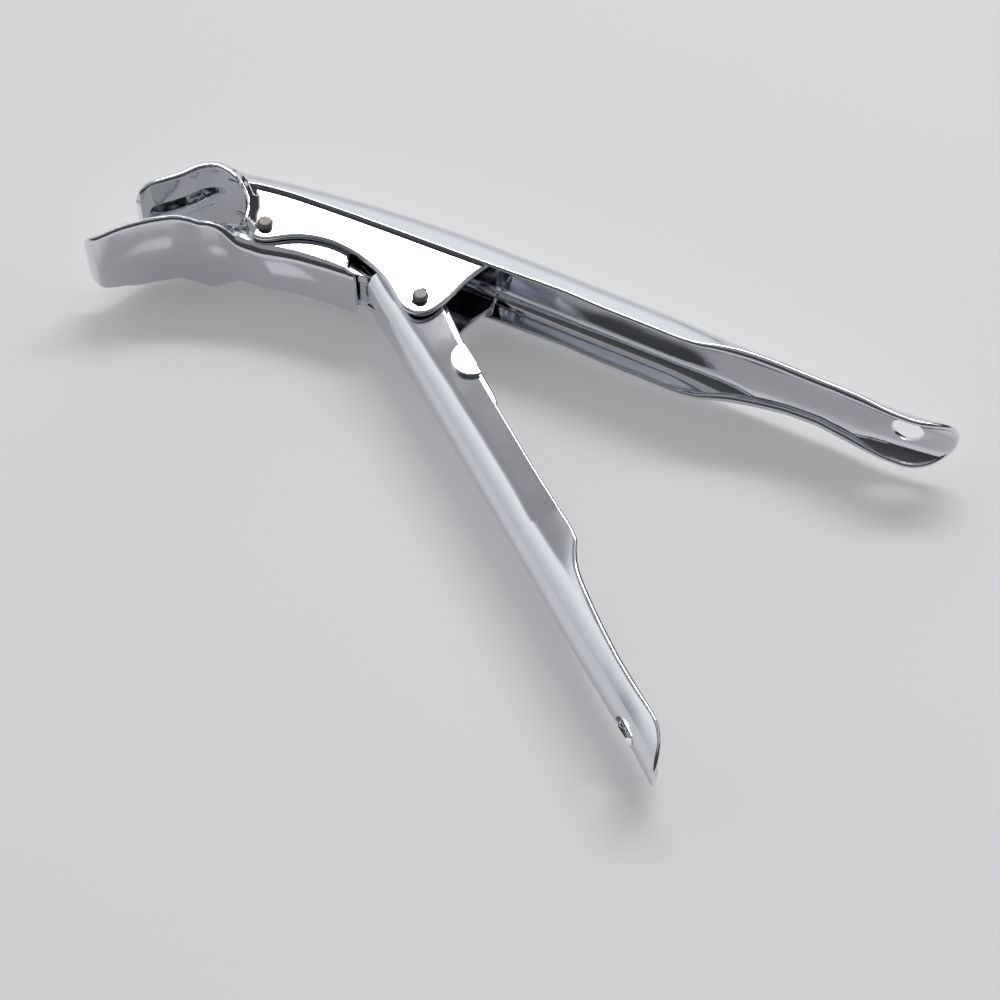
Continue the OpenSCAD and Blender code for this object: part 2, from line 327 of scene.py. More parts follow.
# ---- a handle shell: channel at the pin, shallow trough with rolled edges at the hand end ----
class Handle:
    """Crest, edge and section are curves along x; a section is a crowned back, two corners and two walls."""

    def __init__(self, crest, bottom, half, corner, crown, top, bead, tip, tip_centre, hole_x, flat_end):
        self.crest, self.bottom, self.half = crest, bottom, half
        self.corner, self.crown, self.top, self.bead = corner, crown, top, bead
        self.tip, self.tip_centre, self.hole_x, self.flat_end = tip, tip_centre, hole_x, flat_end

    def shape(self, x):
        """Crown and corner radii, the angles they end at, and the rolled edge's radius, at x."""
        r, crown, top = float(self.corner(x)), float(self.crown(x)), math.radians(float(self.top(x)))
        bead, half, drop = float(self.bead(x)), float(self.half(x)), float(self.crest(x) - self.bottom(x))
        low, high = 0.02, 0.7
        for _ in range(22):
            first = (low + high) / 2
            trial = (crown, r, first, top, bead)
            _, z, a = self.point(self.reach(drop, trial), trial)
            low, high = (first, high) if z + bead * (1 - math.sin(a)) < half else (low, first)
        return trial

    def point(self, w, shape):
        """Drop below the crest, distance from the middle plane, and slope angle at arc length w."""
        crown, r, first, top, _ = shape
        if w <= crown * first:
            a = w / crown
            return crown * (1 - math.cos(a)), crown * math.sin(a), a
        a = min(first + (w - crown * first) / r, top)
        more = w - crown * first - r * (a - first)
        drop = crown * (1 - math.cos(first)) + r * (math.cos(first) - math.cos(a)) + more * math.sin(a)
        return drop, crown * math.sin(first) + r * (math.sin(a) - math.sin(first)) + more * math.cos(a), a

    def reach(self, drop, shape):
        """Arc length at which the rolled edge's lowest point is this far below the crest."""
        low, high, bead = 0.0, 40.0, shape[4]
        for _ in range(26):
            mid = (low + high) / 2
            d, _, a = self.point(mid, shape)
            low, high = (mid, high) if d + bead * (1 + math.cos(a)) < drop else (low, mid)
        return low

    def rows(self, start, columns=44):
        """Rows of outer points from the spine, or the hole, to the edge; holed marks those from the hole."""
        grid, bead, holed = [], [], []
        gap = self.hole_x - HOLE_R
        straight = np.concatenate([np.linspace(start, gap, 230), gap + (self.tip_centre - gap)
                                   * (np.linspace(0, 1, 15)[1:] ** 1.6)])
        for x in straight:
            shape = self.shape(x)
            width = self.reach(self.crest(x) - self.bottom(x), shape)
            inside = HOLE_R**2 - (x - self.hole_x) ** 2
            begin = math.sqrt(inside) if inside > 1e-9 else 0.0
            w = np.linspace(begin, width, columns)
            grid.append([self.on(x, v, shape) for v in w])
            bead.append(shape[4])
            holed.append(begin > 0)
        shape = self.shape(self.tip_centre)
        side = self.reach(self.crest(self.tip_centre) - self.bottom(self.tip_centre), shape)
        front = self.tip - self.tip_centre - PLAIN
        back = self.tip_centre - self.hole_x
        for angle in np.linspace(math.pi / 2, 0, 34)[1:]:
            c, s = math.cos(angle), math.sin(angle)
            power = self.flat_end
            far = ((abs(c) / front) ** power + (abs(s) / side) ** power) ** (-1 / power)
            near = -back * c + math.sqrt(HOLE_R**2 - (back * s) ** 2)
            line = np.linspace(near, far, columns)
            row = [self.on(self.tip_centre + d * c, d * s if angle > 1e-9 else 0.0, shape) for d in line]
            grid.append(row)
            bead.append(PLAIN + (shape[4] - PLAIN) * s * s)
            holed.append(True)
        return np.array(grid), np.array(bead), holed

    def on(self, x, w, shape):
        drop, z, _ = self.point(w, shape)
        return (x, float(self.crest(x)) - drop, z)

    def build(self, name, start, place):
        grid, bead, holed = self.rows(start)
        outward = np.tile([0.0, 1.0, 0.0], (len(grid), 1))
        rows = half_sheet(grid, outward, SHELL_T, bead, turn=15)
        return mirrored_mesh(name, rows, place, holed, cap_end=False)


BACK_R = 279.0                       # long arc of the upper handle's back, and its highest point
BACK_X, BACK_Y = 2.0, 19.2
SHELL_LIFT = 0.25                    # shell's crest above that arc
STRAIGHT_FROM = 8.0                  # where the arc gives way to the straight stretch


def back_arc(x):
    """Back of the upper handle ahead of its straight stretch."""
    return BACK_Y - BACK_R + np.sqrt(BACK_R**2 - (np.asarray(x, float) - BACK_X) ** 2)


upper_straight = pchip([STRAIGHT_FROM, 56, 75, 85, 93, 98, 102, 106],
                       [float(back_arc(STRAIGHT_FROM)), 17.4, 16.8, 16.45, 16.3, 16.5, 16.9, 17.5])
UPPER_BOTTOM = [(-48, 10.2), (-44.3, 10.6), (-40, 11.5), (-32.3, 12.1), (-19, 12.3), (8, 12.2), (24, 12.25),
                (33, 11.7), (44, 11.3), (50, 11.1), (53.5, 11.3), (57, 12.1), (61, 12.9), (66, 13.5),
                (72, 13.8), (78, 13.7), (84, 13.15), (90, 12.5), (94, 12.2), (98, 12.2), (106, 12.3)]
LOWER_BOTTOM = [(-10.6, 2.9), (-10.2, 2.4), (-8.4, 0.4), (-5.6, -2.4), (-2.6, -3.7), (4, -3.6), (12, -2.9),
                (30, -2.55), (46, -2.4), (58, -2.55), (61.5, -2.3), (64, -1.1), (67, 0.1), (71, 0.9),
                (76.3, 1.5), (82.6, 2.0), (88.6, 2.3), (96, 2.3), (110, 2.3)]


def upper_crest(x):
    return np.where(np.asarray(x) < STRAIGHT_FROM, back_arc(x), upper_straight(x)) + SHELL_LIFT


upper = Handle(upper_crest, pchip(*zip(*UPPER_BOTTOM)),
               pchip([-50, 54, 64, 72, 80, 88, 96, 110],
                     [SHELL_HALF, SHELL_HALF, 8.3, 7.5, 7.4, 7.8, 7.8, 7.5]),
               corner=pchip([-50, 46, 66, 110], [4.2, 4.2, 6.4, 6.4]),
               crown=pchip([-50, 46, 66, 110], [45, 45, 16, 16]),
               top=pchip([-50, 46, 64, 110], [84, 84, 80, 80]),
               bead=pchip([-50, 50, 62, 84, 93, 110], [PLAIN, PLAIN, BEAD, BEAD, 0.6, 0.5]),
               tip=105.7, tip_centre=96.6, hole_x=95.88, flat_end=1.95)
lower = Handle(pchip([-12, 40, 60, 80, 92, 100, 110], [7.1, 7.05, 7.1, 7.3, 7.2, 7.2, 7.6]),
               pchip(*zip(*LOWER_BOTTOM)), pchip([-12, 110], [TAIL_HALF, TAIL_HALF]),
               corner=pchip([-12, 0, 15, 38, 55, 64, 75, 110], [3.6, 4.1, 4.9, 5.7, 6.0, 6.3, 6.9, 6.9]),
               crown=pchip([-12, 8, 20, 110], [24, 24, 13, 13]),
               top=pchip([-12, 48, 60, 76, 110], [84.5, 84.5, 79, 66, 64]),
               bead=pchip([-12, 58, 68, 92, 100, 110], [PLAIN, PLAIN, 0.85, 0.85, 0.6, 0.5]),
               tip=109.4, tip_centre=100.0, hole_x=98.5, flat_end=2.0)


# ---- pressings that follow a line of stations ----
def pressing(name, stations, count, thick, inward, place, flare=None, rib=None, square=3.4,
             flat=26, corner=11, wall=16):
    """Stations hold the web's line (x, y), the edge (x, y), the half width and the corner radius."""
    table = spline(stations, count)
    line = table[:, :2]
    along = np.gradient(line, axis=0)
    along /= np.linalg.norm(along, axis=1, keepdims=True)
    normal = np.column_stack([-along[:, 1], along[:, 0]]) * (-inward)
    grid = np.zeros((count, flat + corner + wall, 3))
    travelled = np.concatenate([[0], np.cumsum(np.linalg.norm(np.diff(line, axis=0), axis=1))])
    for i, (x, y, ex, ey, half, r) in enumerate(table):
        p, e = np.array([x, y]) + normal[i] * thick / 2, np.array([ex, ey])
        depth = max(float((p - e) @ normal[i]), 0.05)
        shift = float((e - p) @ along[i])
        turn = min(r, depth)
        angles = np.linspace(0, math.pi / 2, corner + 1)[1:]
        drop = np.concatenate([np.zeros(flat), turn * (1 - np.cos(angles)),
                               turn + (depth - turn) * np.linspace(0, 1, wall + 1)[1:]])
        z = np.concatenate([np.linspace(0, half - r, flat), half - r + r * np.sin(angles),
                            np.full(wall, half)])
        if depth - turn < 0.3:
            drop[-wall:] = turn * (1 + 0.04 * np.linspace(0, 1, wall + 1)[1:])
        lean = shift * (drop / depth)
        grid[i, :, :2] = p - normal[i] * drop[:, None] + along[i] * lean[:, None]
        grid[i, :, 2] = z
        if rib is not None:
            grid[i, :, :2] += normal[i] * rib(travelled[i], z)[:, None]
    if flare is not None:
        grid[:, :, 2] += flare(grid)
    outward = np.column_stack([normal, np.zeros(count)])
    rows = half_sheet(grid, outward, thick, np.full(count, thick / 2), square)
    return mirrored_mesh(name, rows, place)


def web_y(x):
    """Middle of the jaw frame's web, under the upper shell."""
    return float(back_arc(x)) - SHELL_T - FRAME_T / 2


JAW_STATIONS = [
    (-62.2, -0.9, -62.2, -0.9, 7.4, 1.2), (-61.9, 0.4, -61.8, 0.3, 9.4, 1.3),
    (-61.2, 2.2, -61.0, 2.0, 10.1, 1.4), (-59.2, 4.4, -59.1, 4.0, JAW_HALF, 1.5),
    (-56.5, 7.3, -56.4, 6.9, JAW_HALF, 1.5),
    (-54.1, 10.6, -54.0, 10.2, JAW_HALF, 1.6), (-51.4, 12.6, -51.1, 11.9, JAW_HALF, 1.8),
    (-48.4, 13.2, -47.8, 11.7, 10.1, 2.6), (-46.4, 13.5, -45.9, 11.1, 9.7, 3.0),
    (-44.6, web_y(-44.6), -44.5, 10.6, 9.1, 3.1), (-43.2, web_y(-43.2), -43.1, 9.6, 8.5, 3.15),
    (-42.0, web_y(-42.0), -41.4, 8.1, 8.2, 3.15), (-41.0, web_y(-41.0), -40.0, 5.7, FRAME_HALF, 3.15),
    (-40.0, web_y(-40.0), -39.3, 3.4, FRAME_HALF, 3.15),
    (-39.0, web_y(-39.0), -38.5, 1.7, FRAME_HALF, 3.15),
    (-37.4, web_y(-37.4), -36.9, 0.75, FRAME_HALF, 3.15),
    (-35.2, web_y(-35.2), -35.0, 0.8, FRAME_HALF, 3.15),
]
CHEEK_EDGE = [(-33.2, 1.7), (-31.2, 3.1), (-28.8, 4.4), (-26.2, 5.25), (-23.6, 5.7), (-21, 5.8), (-18.4, 5.5),
              (-15.8, 5.0), (-13.2, 4.2), (-10.4, 3.0), (-7.4, 1.3), (-5, -0.6), (-3, -2.3), (-1.2, -3.1),
              (0.9, -3.1), (2.7, -1.8), (3.9, 0.6), (4.7, 3.1), (5.6, 6.9), (6.5, 9.7),
              (7.6, 12.2), (8.6, 14.0)]
CHEEK_STATIONS = [(x, web_y(x), x, y, FRAME_HALF, 3.15) for x, y in CHEEK_EDGE]
FLARE_WIDTH = 2.0
FLARE_EDGE = np.array([(-46.6, 12.0), (-45.6, 11.3), (-44.5, 10.6), (-43.1, 9.6), (-41.4, 8.1), (-40.0, 5.7),
                       (-39.3, 3.4), (-38.5, 1.7)])


def frame_flare(grid):
    """The cheeks' front edges bend outwards over a narrow band."""
    near = np.full(grid.shape[:2], 99.0)
    for a, b in zip(FLARE_EDGE[:-1], FLARE_EDGE[1:]):
        d = b - a
        t = np.clip(((grid[..., :2] - a) @ d) / (d @ d), 0, 1)
        near = np.minimum(near, np.linalg.norm(grid[..., :2] - a - t[..., None] * d, axis=2))
    share = np.clip(1 - near / FLARE_WIDTH, 0, 1)
    bend = 1.25 * share * share / (share + 0.25)
    low = ease(grid[..., 1], 0.5, 3.0) * ease(grid[..., 0], -46.8, -43.6)
    side = ease(grid[..., 2], FRAME_HALF - 2.0, FRAME_HALF - 0.2)
    return 1.2 * bend * low * side


def jaw_rib(travelled, z):
    """A long rounded rib pressed into the mouth along the upper jaw."""
    along = ease(travelled, 0.5, 4.5) * (1 - ease(travelled, 12.0, 22.0))
    return -1.0 * along * (1 - ease(np.abs(z), 0.5, 3.0))


TAIL_STATIONS = [
    (-31.1, -17.4, -31.1, -17.4, 6.2, 1.0), (-30.5, -17.9, -30.5, -17.9, 8.0, 1.0),
    (-29.6, -18.3, -29.5, -18.2, 9.4, 1.0), (-28.4, -18.3, -28.5, -18.2, 10.0, 1.0),
    (-27.2, -17.1, -27.3, -17.0, JAW_HALF, 1.0), (-24.8, -13.9, -24.9, -13.7, JAW_HALF, 1.0),
    (-21.1, -10.3, -21.2, -10.1, JAW_HALF, 1.0), (-17.1, -7.4, -17.2, -7.2, JAW_HALF, 1.0),
    (-14.2, -6.5, -14.2, -6.3, JAW_HALF, 1.0), (-11.6, -6.3, -11.6, -6.1, JAW_HALF, 1.0),
    (-9.6, -5.7, -9.6, -5.5, JAW_HALF, 1.0), (-8.0, -5.1, -8.0, -4.7, 9.4, 1.0),
    (-6.8, -4.9, -6.8, -4.2, 8.6, 1.1), (-5.6, -4.9, -5.7, -3.2, 7.7, 1.3),
    (-4.6, -4.95, -4.8, -2.0, 7.0, 1.5),
    (-3.6, -5.0, -4.0, -0.6, 6.7, 1.7), (-2.4, -5.0, -3.1, 1.4, TAIL_HALF, 1.8),
    (-1.0, -4.95, -1.6, 3.0, TAIL_HALF, 1.9), (1.0, -4.85, 0.6, 3.45, TAIL_HALF, 1.9),
    (4.0, -4.2, 4.0, 3.5, TAIL_HALF, 1.9), (8.0, -3.4, 8.0, 3.4, TAIL_HALF, 1.8),
    (12, -3.0, 12.2, 3.35, TAIL_HALF, 1.7), (15.0, -2.8, 15.2, 3.15, TAIL_HALF, 1.6),
    (16.8, -2.75, 16.9, 2.3, TAIL_HALF, 1.5), (18.2, -2.7, 17.7, 0.4, TAIL_HALF, 1.4),
    (19.5, -2.65, 18.6, -1.5, TAIL_HALF, 1.3), (20.9, -2.6, 20.4, -2.3, 6.3, 1.2),
]
FAR_HALF = pchip([-31.3, -30.6, -29.6, -28.6, -27.2, -25.4, -23.0, -20, -17, -14.2, -11],
                 [0.42, 0.46, 0.49, 0.53, 0.62, 0.76, 0.90, 0.93, 0.94, 0.98, 1.0])


def leaning(p):
    """The jaw's far corner is rounded more than the near one."""
    p = np.array(p, float)
    far = p[:, 2] < 0
    p[far, 2] *= FAR_HALF(p[far, 0])
    return about_jaw_pin(p)


def leaf(travelled, z, start, stop, half, height, blunt):
    """A shallow leaf-shaped rib; blunt says which end stops short."""
    t = np.clip((travelled - start) / (stop - start), 0, 1)
    if t <= 0 or t >= 1:
        return np.zeros_like(z)
    t = t if blunt > 0 else 1 - t
    width = half * (0.25 + 0.75 * float(ease(t, 0, 0.6)))
    rise = height * float(ease(t, 0, 0.75)) * float(1 - ease(t, 0.84, 1.0))
    return rise * (1 + np.cos(np.pi * np.clip(np.abs(z) / width, 0, 1))) / 2


def tail_ribs(travelled, z):
    return (leaf(travelled, z, 4.0, 20.0, 5.6, 0.45, 1) + leaf(travelled, z, 22.0, 31.0, 4.4, 0.45, 1)
            + leaf(travelled, z, 37.5, 52.0, 4.4, 0.55, -1))


LEVER_BACK = 7.1 - SHELL_T - 3 * FIT - FRAME_T / 2
LEVER_EDGE = [(-8.2, 3.2), (-7.6, 1.4), (-6.6, -0.8), (-5.0, -2.8), (-2.6, -4.0), (4, -3.9), (12, -3.2),
              (20, -3.05), (26, -2.8), (29, -1.6), (31, 0.4), (33, 3.2)]
LEVER_INSET, LEVER_CORNER = 0.25, 3.9
LEVER_STATIONS = [(x, LEVER_BACK, x, y, LEVER_HALF - LEVER_INSET, LEVER_CORNER) for x, y in LEVER_EDGE]


# ---- materials ----
def node(tree, kind, at=(0, 0), **inputs):
    n = tree.nodes.new(kind)
    n.location = at
    for key, value in inputs.items():
        n.inputs[key.replace("_", " ")].default_value = value
    return n


def metal(name, colour, rough, spread, wave, wave_scale, grain, wear=0.35):
    """Bare or plated metal: uneven roughness, slow waves from pressing, fine grain, and worn edges."""
    mat = bpy.data.materials.new(name)
    mat.use_nodes = True
    tree = mat.node_tree
    link = tree.links.new
    shader = tree.nodes["Principled BSDF"]
    shader.inputs["Metallic"].default_value = 1.0
    place = node(tree, "ShaderNodeTexCoord", (-1400, 0))
    cloud = node(tree, "ShaderNodeTexNoise", (-1100, 300), Scale=55.0, Detail=4.0, Roughness=0.6)
    link(place.outputs["Object"], cloud.inputs["Vector"])
    smudge = node(tree, "ShaderNodeMapRange", (-800, 300))
    smudge.inputs["From Min"].default_value = 0.35
    smudge.inputs["From Max"].default_value = 0.7
    smudge.inputs["To Min"].default_value = rough
    smudge.inputs["To Max"].default_value = rough + spread
    link(cloud.outputs["Fac"], smudge.inputs["Value"])
    geometry = node(tree, "ShaderNodeNewGeometry", (-1100, -200))
    edges = node(tree, "ShaderNodeMapRange", (-800, -200))
    edges.inputs["From Min"].default_value = 0.52
    edges.inputs["From Max"].default_value = 0.62
    link(geometry.outputs["Pointiness"], edges.inputs["Value"])
    worn = node(tree, "ShaderNodeMath", (-600, -200))
    worn.operation = "MULTIPLY"
    worn.inputs[1].default_value = wear
    link(edges.outputs["Result"], worn.inputs[0])
    rougher = node(tree, "ShaderNodeMath", (-400, 200))
    rougher.operation = "MULTIPLY_ADD"
    rougher.inputs[1].default_value = 0.12
    link(worn.outputs[0], rougher.inputs[0])
    link(smudge.outputs["Result"], rougher.inputs[2])
    link(rougher.outputs[0], shader.inputs["Roughness"])
    tone = node(tree, "ShaderNodeMix", (-500, 500))
    tone.data_type = "RGBA"
    tone.inputs[6].default_value = (*colour, 1)
    tone.inputs[7].default_value = (*[min(1.0, c * 0.93) for c in colour[:2]], colour[2] * 0.97, 1)
    link(cloud.outputs["Fac"], tone.inputs[0])
    edge_tone = node(tree, "ShaderNodeMix", (-250, 500))
    edge_tone.data_type = "RGBA"
    edge_tone.inputs[7].default_value = (*[min(1.0, c * 1.08) for c in colour], 1)
    link(worn.outputs[0], edge_tone.inputs[0])
    link(tone.outputs[2], edge_tone.inputs[6])
    link(edge_tone.outputs[2], shader.inputs["Base Color"])
    slow = node(tree, "ShaderNodeTexNoise", (-1100, -500), Scale=wave_scale, Detail=1.0, Roughness=0.4)
    link(place.outputs["Object"], slow.inputs["Vector"])
    waves = node(tree, "ShaderNodeBump", (-500, -500), Strength=wave, Distance=0.0006)
    link(slow.outputs["Fac"], waves.inputs["Height"])
    fine = node(tree, "ShaderNodeTexNoise", (-1100, -800), Scale=2600.0, Detail=2.0, Roughness=0.7)
    link(place.outputs["Object"], fine.inputs["Vector"])
    skin = node(tree, "ShaderNodeBump", (-250, -500), Strength=grain, Distance=0.00002)
    link(fine.outputs["Fac"], skin.inputs["Height"])
    link(waves.outputs["Normal"], skin.inputs["Normal"])
    link(skin.outputs["Normal"], shader.inputs["Normal"])
    return mat


CHROME = (0.80, 0.815, 0.84)
plate_flat = metal("chrome_plate", CHROME, 0.035, 0.05, 0.10, 45.0, 0.25)
plate_pressed = metal("chrome_pressed", (0.78, 0.795, 0.82), 0.05, 0.07, 0.40, 90.0, 0.35)
plate_handle = metal("chrome_handle", CHROME, 0.05, 0.06, 0.16, 60.0, 0.3)
turned_steel = metal("turned_steel", (0.30, 0.285, 0.26), 0.42, 0.16, 0.35, 900.0, 0.9, 0.6)
spring_wire = metal("spring_wire", (0.55, 0.56, 0.58), 0.14, 0.10, 0.2, 600.0, 0.6, 0.5)


def dress(obj, material, body, slot, *nodes):
    obj.data.materials.clear()
    obj.data.materials.append(material)
    if body is not None:
        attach(obj, body)
    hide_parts(*nodes)
    return obj


def cut_slit(obj):
    """A tapering slit in the lower shell's back, open at its front end."""
    wedge = [(-13.0, -3.0), (-11.0, -2.6), (-6.2, 0.9), (-7.2, 1.2), (-9.0, 1.25), (-13.0, 1.25)]
    points = [(x, y, z) for y in (5.0, 9.0) for x, z in wedge]
    cut_away(obj, finished_mesh("cutter", lower_side(np.array(points)), prism_faces(len(wedge))))


# ---- pieces ----
PIN_R, LOOSE_R = 1.5, 1.55           # the pins are tight in the frame and free in what turns on them


def make_upper_shell():
    obj = upper.build("upper_handle_shell.sheet", -47.6, about_handle_pin)
    rounded(obj, 0.22)
    return dress(obj, plate_handle, "frame", "chrome_upper_shell", "upper_handle_shell")


def make_lower_shell():
    obj = lower.build("lower_handle_shell.sheet", -10.5, lower_side)
    rounded(obj, 0.22)
    cut_pin_holes(obj, [HANDLE_PIN], LOOSE_R)
    cut_slit(obj)
    return dress(obj, plate_handle, "grip", "chrome_lower_shell", "lower_handle_shell")


def make_frame():
    obj = pressing("upper_frame.sheet", JAW_STATIONS + CHEEK_STATIONS, 330, FRAME_T, -1, about_handle_pin,
                   frame_flare, jaw_rib)
    rounded(obj, 0.28)
    cut_pin_holes(obj, [HANDLE_PIN, JAW_PIN], PIN_R)
    return dress(obj, plate_flat, "frame", "chrome_frame", "upper_frame")


def make_lower_jaw():
    obj = pressing("lower_jaw.sheet", TAIL_STATIONS, 300, JAW_T, 1, leaning, None, tail_ribs)
    rounded(obj, 0.24)
    cut_pin_holes(obj, [JAW_PIN], LOOSE_R)
    return dress(obj, plate_pressed, "jaw", "chrome_lower_jaw", "lower_jaw")


def arc(centre, radius, a, b, steps=14):
    return [(centre[0] + radius * math.cos(t), centre[1] + radius * math.sin(t))
            for t in np.linspace(math.radians(a), math.radians(b), steps)]


TAB_X, TAB_R, TAB_T = 17.0, 4.1, 0.9
NOSE = (-14.26, 7.16)
NOSE_R = 1.6


def make_lever():
    obj = pressing("lower_lever.sheet", LEVER_STATIONS, 120, FRAME_T, -1, lower_side)
    rounded(obj, 0.28)
    cut_pin_holes(obj, [HANDLE_PIN], LOOSE_R)
    under = LEVER_BACK - FRAME_T / 2
    over = under + FRAME_T
    tongue = [(-7.0, under + 0.1), (-9.5, under + 0.1)] + arc(NOSE, NOSE_R - 0.1, -70, -290, 24) + [
        (-10.6, over - 0.1), (-7.0, over - 0.1)]
    knuckle = [(-11.2, under + 0.15)] + arc(NOSE, NOSE_R, -70, -290, 24) + [(-11.2, over + 0.15)]
    extra = [plate("tongue", tongue, -3.1, 3.1, lower_side, 0.2),
             plate("knuckle", knuckle, -5.0, 5.0, lower_side, 0.3)]
    for side in (-1, 1):
        wall = side * TAIL_HALF
        moon = [(TAB_X - 4.1, -2.95)] + arc((TAB_X, -2.8), TAB_R, 166, 6, 30) + [(TAB_X + 4.0, -2.95)]
        low, high = sorted((wall + side * FIT, wall + side * (TAB_T + FIT)))
        extra.append(plate("tab", moon, low, high, lower_side, 0.25))
        fold = [(TAB_X - 3.8, -3.15), (TAB_X + 2.2, -3.15), (TAB_X + 2.2, -2.6), (TAB_X - 3.8, -2.6)]
        low, high = sorted((wall - side * (SHELL_T + FRAME_T), wall + side * (TAB_T + FIT)))
        extra.append(plate("fold", fold, low, high, lower_side, 0.3))
    joined(obj, *extra)
    return dress(obj, plate_flat, "grip", "chrome_lever", "lower_lever")


def make_pin(name, centre, cad_node):
    half, c = FRAME_HALF + PIN_OUT, 0.55
    edge = [(PIN_R - c + c * math.sin(a), half - c + c * math.cos(a))
            for a in np.linspace(0.2, math.pi / 2, 8)]
    turned = [(0.12, 0.02), (0.3, -0.03), (0.5, 0.02), (0.7, -0.02), (0.86, 0.0)]
    top = [(at, half + rise) for at, rise in turned] + edge
    bottom = [(a, -b) for a, b in reversed(top)]
    obj = lathe(name, bottom + top[::-1], lambda p: np.asarray(p) * MM + np.array(centre), 64)
    rounded(obj, 0.05, 2, 70)
    return dress(obj, turned_steel, "frame", "pin_steel", cad_node)


COILS, COIL_R, WIRE_R = 5, 2.35, 0.48


def make_spring():
    """One wire: a leg to the upper jaw, the coils and a leg to the lower jaw."""
    pitch = 2 * WIRE_R + 0.06
    turns = COILS - 0.45
    first, steps = math.radians(-96), int(40 * COILS)
    coil = []
    for k in range(steps + 1):
        a = first - 2 * math.pi * turns * k / steps
        coil.append((COIL_R * math.cos(a), COIL_R * math.sin(a), pitch * turns * (k / steps - 0.5)))
    low_leg = [(-8.4, -2.4), (-6.6, -2.3), (-4.2, -2.35), (-1.8, -2.45)]
    path = [(x, y, coil[0][2]) for x, y in low_leg] + coil
    end = Vector(coil[-1])
    lead = (Vector(coil[-1]) - Vector(coil[-2])).normalized()
    goal = Vector((-9.2, 4.6, end.z))
    for k in range(1, 9):
        t = k / 8
        straight = end.lerp(goal, t)
        path.append(tuple(straight + lead * 2.2 * t * (1 - t)))
    path = np.array(path)
    length = np.concatenate([[0], np.cumsum(np.linalg.norm(np.diff(path, axis=0), axis=1))])
    at = np.linspace(0, length[-1], 420)
    path = np.stack([np.interp(at, length, path[:, k]) for k in range(3)], -1)
    for _ in range(3):
        path[1:-1] = (path[:-2] + 2 * path[1:-1] + path[2:]) / 4
    tangent = np.gradient(path, axis=0)
    tangent /= np.linalg.norm(tangent, axis=1, keepdims=True)
    side = np.tile([0.0, 0.0, 1.0], (len(path), 1))
    side -= tangent * (side * tangent).sum(1, keepdims=True)
    side /= np.linalg.norm(side, axis=1, keepdims=True)
    other = np.cross(tangent, side)
    ring = 14
    verts, faces = [], []
    for i in range(len(path)):
        end_gap = min(i, len(path) - 1 - i)
        r = WIRE_R * (0.75 if end_gap == 0 else 1.0)
        for k in range(ring):
            a = 2 * math.pi * k / ring
            verts.append(path[i] + r * (math.cos(a) * side[i] + math.sin(a) * other[i]))
    for i in range(len(path) - 1):
        for k in range(ring):
            b = (k + 1) % ring
            faces.append([i * ring + k, i * ring + b, (i + 1) * ring + b, (i + 1) * ring + k])
    faces.append(list(range(ring)))
    faces.append([(len(path) - 1) * ring + k for k in range(ring)])
    obj = finished_mesh("return_spring.wire", about_jaw_pin(np.array(verts)), faces)
    dress(obj, spring_wire, None, "spring_steel", "return_spring")
    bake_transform(obj)
    return obj


make_upper_shell()
make_lower_shell()
make_frame()
make_lower_jaw()
make_lever()
make_pin("handle_pin.turned", HANDLE_PIN, "handle_pin")
make_pin("jaw_pin.turned", JAW_PIN, "jaw_pin")
make_spring()


# ---- camera: the photo's viewing angle ----
AZIMUTH, ELEVATION, DISTANCE = math.radians(24.6), math.radians(57.0), 0.510
AIM = Vector((HANDLE_PIN.x + 28.73 * MM, HANDLE_PIN.y - 25.44 * MM, 0.0))
to_camera = Vector((math.sin(AZIMUTH) * math.cos(ELEVATION), -math.cos(AZIMUTH) * math.cos(ELEVATION),
                    math.sin(ELEVATION)))


def from_photo_axes(x, y, z):
    """A point given as right, away and up from the aim point, as the photo's camera stands."""
    right = Vector((math.cos(AZIMUTH), math.sin(AZIMUTH), 0))
    away = Vector((-math.sin(AZIMUTH), math.cos(AZIMUTH), 0))
    return AIM + right * x + away * y + Vector((0, 0, z))


def make_camera():
    data = bpy.data.cameras.new("camera")
    data.sensor_width = 36.0
    data.lens = 95.04
    data.clip_start = 0.01
    data.clip_end = 20.0
    camera = bpy.data.objects.new("camera", data)
    bpy.context.scene.collection.objects.link(camera)
    camera.location = AIM + to_camera * DISTANCE
    camera.rotation_euler = (AIM - camera.location).to_track_quat("-Z", "Y").to_euler()
    bpy.context.scene.camera = camera


# ---- floor and light ----
FLOOR_PAINTED_FILL = 0.33                    # painted fill light: the floor glows by itself, standing in for light bounced onto it from all round the room


def make_floor():
    size = 3.0
    corners = [(-size, -size, 0), (size, -size, 0), (size, size, 0), (-size, size, 0)]
    mesh = bpy.data.meshes.new("floor")
    mesh.from_pydata(corners, [], [(0, 1, 2, 3)])
    floor = bpy.data.objects.new("floor", mesh)
    bpy.context.scene.collection.objects.link(floor)
    mat = bpy.data.materials.new("pale_card")
    mat.use_nodes = True
    tree = mat.node_tree
    shader = tree.nodes["Principled BSDF"]
    shader.inputs["Roughness"].default_value = 0.75
    shader.inputs["Specular IOR Level"].default_value = 0.25
    place = node(tree, "ShaderNodeTexCoord", (-900, 0))
    noise = node(tree, "ShaderNodeTexNoise", (-700, 0), Scale=9.0, Detail=3.0)
    tree.links.new(place.outputs["Object"], noise.inputs["Vector"])
    mix = node(tree, "ShaderNodeMix", (-400, 0))
    mix.data_type = "RGBA"
    mix.inputs[6].default_value = (0.644, 0.648, 0.658, 1)
    mix.inputs[7].default_value = (0.656, 0.659, 0.667, 1)
    tree.links.new(noise.outputs["Fac"], mix.inputs[0])
    tree.links.new(mix.outputs[2], shader.inputs["Base Color"])
    # painted fill light: the floor glows in its own colour, which lightens its shadows as well
    tree.links.new(mix.outputs[2], shader.inputs["Emission Color"])
    shader.inputs["Emission Strength"].default_value = FLOOR_PAINTED_FILL
    floor.data.materials.append(mat)


